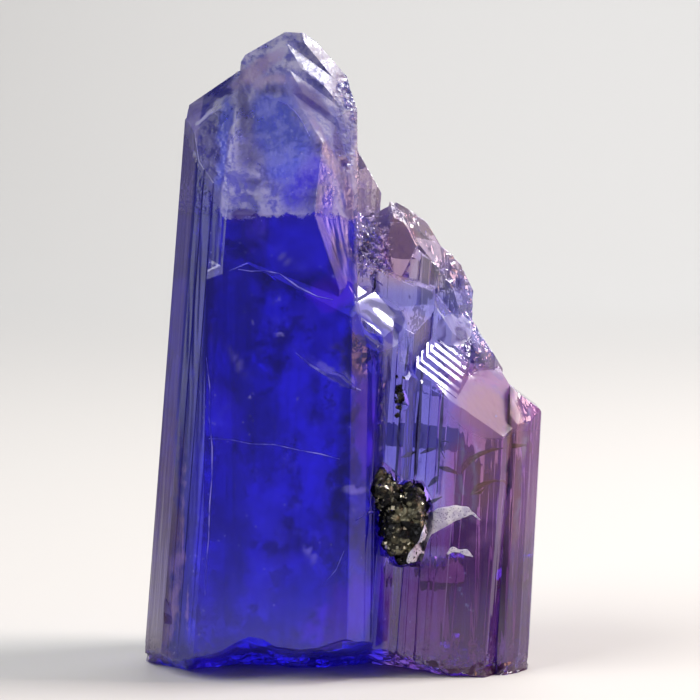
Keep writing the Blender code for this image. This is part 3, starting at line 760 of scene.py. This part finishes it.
def ribbon(bm, path, widths, lift, across_steps, along_steps):
    """A closed thin patch along path, (x, z) in mm, with a half width at each of its points. lift gives
    the depth and thickness at a place, in metres. A grid is bent along the path and thickened."""
    points = []
    for i in range(len(path) - 1):
        for k in range(along_steps):
            share = k / along_steps
            eased = 3 * share * share - 2 * share * share * share
            width = widths[i] + (widths[i + 1] - widths[i]) * eased
            points.append((Vector(path[i]).lerp(Vector(path[i + 1]), share), width))
    points.append((Vector(path[-1]), widths[-1]))

    grid = bmesh.ops.create_grid(bm, x_segments=across_steps, y_segments=len(points) - 1, size=0.5)["verts"]
    corners = set(grid)
    faces = [f for f in bm.faces if f.verts[0] in corners]
    for vertex in grid:
        i = round((vertex.co.y + 0.5) * (len(points) - 1))
        at, width = points[i]
        ahead = points[min(i + 1, len(points) - 1)][0] - points[max(i - 1, 0)][0]
        side = Vector((-ahead.y, ahead.x)).normalized()
        place = at + side * width * (2 * vertex.co.x)
        vertex.co = (place.x * MM, 0, place.y * MM)
    risen = bmesh.ops.extrude_face_region(bm, geom=faces)["geom"]
    for vertex in risen:
        if isinstance(vertex, bmesh.types.BMVert):
            depth, thickness = lift(vertex.co.x, vertex.co.z)
            vertex.co.y = depth - thickness
    for vertex in grid:
        vertex.co.y = lift(vertex.co.x, vertex.co.z)[0]


def ribbons(places, lift, across_steps, along_steps):
    """Ribbons along several paths, (path, half widths), in one mesh."""
    bm = bmesh.new()
    for path, widths in places:
        ribbon(bm, path, widths, lift, across_steps, along_steps)
    bmesh.ops.recalc_face_normals(bm, faces=bm.faces[:])
    return bm


class TANZANITE_OT_crystal(bpy.types.Operator):
    """Builds the clear crystal cluster."""

    bl_idname = "tanzanite.crystal"
    bl_label = "Crystal"

    def execute(self, context):
        stone = context.scene.tanzanite_stone
        bm = paint(chipped(crystal_mesh(stone.edge_width)))
        body = mesh_object(bm, "zoisite_crystal", zoisite(stone))
        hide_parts("tanzanite_crystal")
        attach(body, "root")
        return {"FINISHED"}


class TANZANITE_OT_matrix(bpy.types.Operator):
    """Builds the dark matrix lump with its bright grains."""

    bl_idname = "tanzanite.matrix"
    bl_label = "Matrix Lump"

    VOXEL = 0.035 * MM
    # How far the rough lump swells towards the sides of its pit, in mm
    SWELL = 0.14
    # The specks lie in a small cloud: its middle and spread, (x, z) in mm
    SPECKS_MIDDLE, SPECKS_SPREAD = (1.84, 9.15), (0.08, 0.24)
    SPECK_SIZES, GRAIN_SIZES = (0.05, 0.14), (0.04, 0.13)

    def execute(self, context):
        settings = context.scene.tanzanite_inclusions
        bm = remeshed(merged_copy("matrix_lump"), "matrix_even", self.VOXEL)
        rough_rock(bm, self.SWELL, 3.0)
        faces = [f for f in bm.faces if f.normal.y < -0.2]
        dice = random.Random(5)
        spots = [f.calc_center_median() for f in dice.sample(faces, settings.grain_count)]
        rock = matrix_rock("graphite_matrix", (0.03, 0.029, 0.024), (0.20, 0.19, 0.13))
        lump = mesh_object(bm, "matrix", rock)
        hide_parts("matrix_lump")
        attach(lump, "root")

        tree = search_tree("tanzanite_crystal")
        specks = bmesh.new()
        for _ in range(settings.speck_count):
            x, z = [dice.gauss(*spread) * MM for spread in zip(self.SPECKS_MIDDLE, self.SPECKS_SPREAD)]
            place = Vector((x, surface_below(tree, x, z, 0.0), z))
            add_grain(specks, place, dice.uniform(*self.SPECK_SIZES) * MM, dice)
        upper = mesh_object(specks, "matrix_specks", rock)
        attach(upper, "root")

        grains = bmesh.new()
        for place in spots:
            add_grain(grains, place, dice.uniform(*self.GRAIN_SIZES) * MM, dice)
        bits = mesh_object(grains, "pyrite_grains", bright_metal("pyrite", (0.55, 0.5, 0.3)))
        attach(bits, "root")
        return {"FINISHED"}


class TANZANITE_OT_crust(bpy.types.Operator):
    """Builds the pale crust below the matrix lump and the flake beside it."""

    bl_idname = "tanzanite.crust"
    bl_label = "Pale Crust"

    # The film and the flake: path (x, z) in mm, seen from the front, and half widths along it
    FILM = (
        [(4.43, 5.15), (4.2, 5.36), (3.98, 5.42), (3.6, 5.38), (3.2, 5.24), (2.88, 5.0), (2.7, 4.76),
         (2.6, 4.5), (2.5, 4.28), (2.36, 4.02), (2.3, 3.84), (2.28, 3.66)],
        [0.015, 0.04, 0.17, 0.25, 0.32, 0.27, 0.18, 0.16, 0.19, 0.26, 0.25, 0.06],
    )
    FLAKE = (
        [(3.38, 4.05), (3.55, 4.2), (3.75, 4.14), (3.98, 4.1), (4.2, 3.96)], [0.03, 0.09, 0.05, 0.1, 0.02],
    )
    # The crust lies before this y, and its back is sunk into what carries it
    BACK = -2.3 * MM
    SUNK = 0.02 * MM

    def execute(self, context):
        thickness = context.scene.tanzanite_inclusions.crust_thickness
        crystal = search_tree("tanzanite_crystal")
        lump = BVHTree.FromObject(bpy.data.objects["matrix"], context.evaluated_depsgraph_get())

        def lift(x, z):
            depth = min(surface_below(tree, x, z, self.BACK) for tree in (crystal, lump))
            grain = noise.noise(Vector((x, 0, z)) / MM * 4.0)
            return min(depth, self.BACK) + self.SUNK, thickness * (1.3 + 0.5 * grain)

        crust = bmesh.new()
        ribbon(crust, *self.FILM, lift, 6, 6)
        ribbon(crust, *self.FLAKE, lift, 4, 4)
        bmesh.ops.recalc_face_normals(crust, faces=crust.faces[:])
        film = mesh_object(crust, "pale_crust", pale_crust("crust"), smooth=True)
        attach(film, "root")
        return {"FINISHED"}


class TANZANITE_OT_cracks(bpy.types.Operator):
    """Builds the dark curved cracks just inside the stepped growths."""

    bl_idname = "tanzanite.cracks"
    bl_label = "Cracks"

    # Depth of the cracks beneath the surface and their thickness. The surface counts as no farther
    # forward than FOREMOST, and as MISSING where there is none.
    BENEATH = 0.08 * MM
    THICKNESS = 0.03 * MM
    FOREMOST = -3.3 * MM
    MISSING = -2.5 * MM
    # Each crack: its path (x, z) in mm, seen from the front, and its half widths before it is widened
    WIDENED = 1.7
    CRACKS = [
        ([(3.82, 6.63), (3.93, 6.91), (4.12, 7.1), (4.4, 7.27), (4.79, 7.41), (5.17, 7.47)],
         [0.01, 0.055, 0.06, 0.045, 0.03, 0.01]),
        ([(5.3, 7.42), (5.55, 7.5), (5.95, 7.49)], [0.01, 0.045, 0.015]),
        ([(3.08, 6.86), (3.35, 6.8), (3.57, 6.72), (3.74, 6.6)], [0.02, 0.05, 0.035, 0.005]),
        ([(3.1, 6.6), (2.95, 6.42), (2.76, 6.22)], [0.01, 0.05, 0.015]),
        ([(4.1, 5.95), (4.34, 6.19), (4.57, 6.33), (4.9, 6.41), (5.17, 6.4), (5.36, 6.25), (5.34, 6.03)],
         [0.01, 0.06, 0.04, 0.02, 0.02, 0.035, 0.005]),
        ([(4.15, 5.98), (4.4, 6.02), (4.62, 6.2)], [0.005, 0.03, 0.005]),
        ([(2.69, 5.58), (2.91, 5.75), (3.2, 5.9)], [0.01, 0.035, 0.01]),
        ([(1.89, 7.19), (2.13, 7.27), (2.38, 7.34)], [0.01, 0.05, 0.01]),
        ([(2.5, 7.3), (2.75, 7.4), (3.04, 7.46)], [0.01, 0.04, 0.01]),
        ([(3.1, 7.66), (3.16, 7.4), (3.3, 7.12)], [0.005, 0.012, 0.005]),
        ([(3.1, 7.68), (3.3, 7.7), (3.45, 7.66)], [0.005, 0.014, 0.005]),
        ([(5.26, 5.1), (5.22, 4.4), (5.17, 3.6)], [0.005, 0.018, 0.005]),
        ([(1.70, 5.9), (1.80, 7.7), (1.84, 8.4), (1.93, 9.8)], [0.01, 0.03, 0.02, 0.012]),
        ([(2.30, 5.8), (2.38, 7.2), (2.43, 8.0), (2.56, 9.9)], [0.01, 0.035, 0.045, 0.015]),
        ([(3.04, 6.0), (3.12, 7.4), (3.18, 8.4), (3.25, 9.5)], [0.008, 0.02, 0.03, 0.01]),
        ([(5.42, 9.1), (5.38, 8.0), (5.33, 6.6), (5.30, 5.9)], [0.02, 0.05, 0.045, 0.02]),
        ([(1.02, 12.35), (1.05, 12.65), (1.06, 12.95)], [0.008, 0.024, 0.008]),
        ([(2.0, 9.95), (2.06, 10.3), (2.12, 10.7)], [0.008, 0.024, 0.008]),
    ]

    def execute(self, context):
        tree = search_tree("tanzanite_crystal")

        def lift(x, z):
            depth = max(surface_below(tree, x, z, self.MISSING), self.FOREMOST)
            return depth + self.BENEATH, self.THICKNESS

        places = [(path, [self.WIDENED * w for w in widths]) for path, widths in self.CRACKS]
        shade = crack_shade("crack_shade", (0.02, 0.008, 0.06))
        dark = mesh_object(ribbons(places, lift, 2, 5), "inner_cracks", shade, smooth=True)
        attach(dark, "root")
        return {"FINISHED"}


class TANZANITE_OT_veins(bpy.types.Operator):
    """Builds the thin pale veins on the front of the thick growth."""

    bl_idname = "tanzanite.veins"
    bl_label = "Veins"

    # The veins stand a little proud of the surface, but no farther forward than this y
    SUNK = 0.014 * MM
    THICKNESS = 0.022 * MM
    FOREMOST = -4.055 * MM
    # Each vein: its path (x, z) in mm, seen from the front, and its half widths along the path
    VEINS = [
        ([(-3.3, 13.26), (-2.9, 13.2), (-2.5, 13.22), (-1.99, 13.12), (-1.4, 12.7), (-0.8, 12.41),
          (-0.3, 12.3)], [0.006, 0.014, 0.022, 0.015, 0.025, 0.014, 0.008]),
        ([(-1.48, 10.62), (-1.0, 10.22), (-0.53, 9.94), (-0.15, 9.8), (0.17, 9.58), (0.59, 9.41)],
         [0.01, 0.03, 0.045, 0.09, 0.07, 0.015]),
        ([(-0.3, 10.05), (0.02, 9.93), (0.35, 9.62)], [0.01, 0.03, 0.012]),
        ([(-4.25, 7.86), (-3.6, 7.84), (-2.9, 7.7), (-2.17, 7.69), (-1.4, 7.52), (-0.7, 7.4),
          (-0.09, 7.24)], [0.008, 0.014, 0.01, 0.016, 0.01, 0.018, 0.008]),
        ([(-4.33, 10.45), (-4.22, 9.5), (-4.25, 8.53), (-4.15, 7.6), (-4.16, 6.64), (-4.24, 5.7),
          (-4.27, 4.68), (-4.36, 3.8), (-4.4, 2.84)],
         [0.006, 0.014, 0.009, 0.018, 0.012, 0.018, 0.01, 0.016, 0.008]),
        ([(-2.1, 18.61), (-1.8, 18.5), (-1.51, 18.25), (-1.25, 17.85), (-1.04, 17.42)],
         [0.006, 0.012, 0.012, 0.012, 0.006]),
        ([(0.42, 5.26), (0.85, 5.46), (1.25, 5.52)], [0.012, 0.035, 0.015]),
        ([(-0.6, 3.2), (-0.2, 3.7), (0.05, 4.3)], [0.005, 0.014, 0.005]),
    ]

    def execute(self, context):
        tree = search_tree("tanzanite_crystal")

        def lift(x, z):
            return max(surface_below(tree, x, z, 0.0) + self.SUNK, self.FOREMOST), self.THICKNESS

        pale = mesh_object(ribbons(self.VEINS, lift, 2, 6), "pale_veins", vein("vein"), smooth=True)
        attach(pale, "root")
        return {"FINISHED"}


class TANZANITE_OT_studio(bpy.types.Operator):
    """Builds the floor, the lights and the camera."""

    bl_idname = "tanzanite.studio"
    bl_label = "Studio"

    # Each softbox: name, direction from the stone, distance, width, height, power in watts, colour
    SOFTBOXES = [
        ("step_light", (0.63, 0.07, 0.78), 0.16, 0.055, 0.055, 0.25, (1.0, 0.98, 0.94)),
        ("key_light", (-0.75, -0.45, 0.75), 0.30, 0.20, 0.20, 0.78, (1.0, 0.98, 0.96)),
        ("back_light", (0.25, 0.95, 0.45), 0.30, 0.30, 0.18, 0.51, (0.96, 0.97, 1.0)),
        ("left_light", (-1.0, 0.1, 0.25), 0.22, 0.10, 0.16, 0.06, (0.9, 0.93, 1.0)),
        ("warm_light", (0.85, -0.25, 0.05), 0.20, 0.08, 0.08, 0.08, (1.0, 0.5, 0.32)),
        ("rose_light", (0.88, -0.03, 0.47), 0.16, 0.05, 0.05, 0.08, (1.0, 0.62, 0.60)),
    ]

    def execute(self, context):
        studio = context.scene.tanzanite_studio
        self.add_sweep(studio)
        for softbox in self.SOFTBOXES:
            self.add_softbox(*softbox)
        self.add_surround(studio)
        self.add_camera(studio)
        context.scene.view_settings.view_transform = "Standard"
        return {"FINISHED"}

    @staticmethod
    def add_sweep(studio):
        """Floor and wall in one piece, joined by a wide curve."""
        bm = bmesh.new()
        width, front, back, bend, height, bend_steps = 1.4, -0.7, 0.34, 0.16, 0.7, 12
        profile = [(front, 0.0), (0.0, 0.0)]
        for i in range(1, bend_steps + 1):
            angle = math.pi / 2 * i / bend_steps
            profile.append((back + bend * math.sin(angle) - bend, bend - bend * math.cos(angle)))
        profile.append((back, height))
        line = [bm.verts.new((-width / 2, y, z)) for y, z in profile]
        edges = [bm.edges.new(pair) for pair in zip(line, line[1:])]
        swept = bmesh.ops.extrude_edge_only(bm, edges=edges)["geom"]
        across = [v for v in swept if isinstance(v, bmesh.types.BMVert)]
        bmesh.ops.translate(bm, verts=across, vec=(width, 0, 0))
        bmesh.ops.recalc_face_normals(bm, faces=bm.faces[:])
        paper = Finish("studio_paper")
        # The paper grows darker before the stone and far out at its sides, so that its faces stay deep
        pale, dim, dark = [[share * c for c in studio.floor_colour] for share in (1.0, 0.4, 0.15)]
        beside = paper.math("MULTIPLY_ADD", paper.y, -0.2, paper.math("ABSOLUTE", paper.x))
        shade = paper.mix(paper.fade(beside, 15, 45), pale, dim)
        paper.set(Base_Color=paper.mix(paper.fade(paper.y, -30, -7), dark, shade), Roughness=0.85)
        floor = mesh_object(bm, "studio_floor", paper.material, smooth=True)

    @staticmethod
    def add_softbox(name, direction, distance, width, height, power, colour):
        light = bpy.data.lights.new(name, "AREA")
        light.shape = "RECTANGLE"
        light.size, light.size_y = width, height
        light.energy = power
        light.color = colour
        lamp = bpy.data.objects.new(name, light)
        away = Vector(direction).normalized()
        lamp.location = Vector((0, 0, 10.5 * MM)) + away * distance
        lamp.rotation_euler = away.to_track_quat("Z", "Y").to_euler()
        bpy.context.scene.collection.objects.link(lamp)

    @staticmethod
    def add_surround(studio):
        world = bpy.data.worlds.new("studio_surround")
        world.use_nodes = True
        background = world.node_tree.nodes["Background"]
        background.inputs["Color"].default_value = (0.95, 0.96, 1.0, 1)
        background.inputs["Strength"].default_value = studio.surround
        bpy.context.scene.world = world

    @staticmethod
    def add_camera(studio):
        target = Vector((0.24, -0.28, 10.45)) * MM
        tilt = studio.camera_elevation
        away = Vector((0, -math.cos(tilt), math.sin(tilt)))
        lens = bpy.data.cameras.new("camera")
        lens.lens = 140
        lens.sensor_width = 36
        lens.clip_start = 0.002
        lens.clip_end = 10
        camera = bpy.data.objects.new("camera", lens)
        camera.location = target + away * studio.camera_distance
        camera.rotation_euler = away.to_track_quat("Z", "Y").to_euler()
        bpy.context.scene.collection.objects.link(camera)
        bpy.context.scene.camera = camera


class TANZANITE_PT_panel(bpy.types.Panel):
    """Lists the steps that build the stone."""

    bl_label = "Tanzanite"
    bl_idname = "TANZANITE_PT_panel"
    bl_space_type = "VIEW_3D"
    bl_region_type = "UI"
    bl_category = "Tanzanite"

    def draw(self, context):
        layout = self.layout
        for operator in OPERATORS:
            layout.operator(operator.bl_idname)
        for group in ("tanzanite_stone", "tanzanite_inclusions", "tanzanite_studio"):
            settings = getattr(context.scene, group)
            box = layout.box()
            for name in settings.__annotations__:
                box.prop(settings, name)


SETTINGS = [StoneSettings, InclusionSettings, StudioSettings]
OPERATORS = [
    TANZANITE_OT_crystal, TANZANITE_OT_matrix, TANZANITE_OT_crust, TANZANITE_OT_cracks, TANZANITE_OT_veins,
    TANZANITE_OT_studio,
]


def register():
    for kind in SETTINGS + OPERATORS + [TANZANITE_PT_panel]:
        bpy.utils.register_class(kind)
    bpy.types.Scene.tanzanite_stone = PointerProperty(type=StoneSettings)
    bpy.types.Scene.tanzanite_inclusions = PointerProperty(type=InclusionSettings)
    bpy.types.Scene.tanzanite_studio = PointerProperty(type=StudioSettings)


def unregister():
    del bpy.types.Scene.tanzanite_stone
    del bpy.types.Scene.tanzanite_inclusions
    del bpy.types.Scene.tanzanite_studio
    for kind in reversed(SETTINGS + OPERATORS + [TANZANITE_PT_panel]):
        bpy.utils.unregister_class(kind)


def main():
    register()
    bpy.ops.tanzanite.crystal()
    bpy.ops.tanzanite.matrix()
    bpy.ops.tanzanite.crust()
    bpy.ops.tanzanite.cracks()
    bpy.ops.tanzanite.veins()
    bpy.ops.tanzanite.studio()


if __name__ == "__main__":
    main()
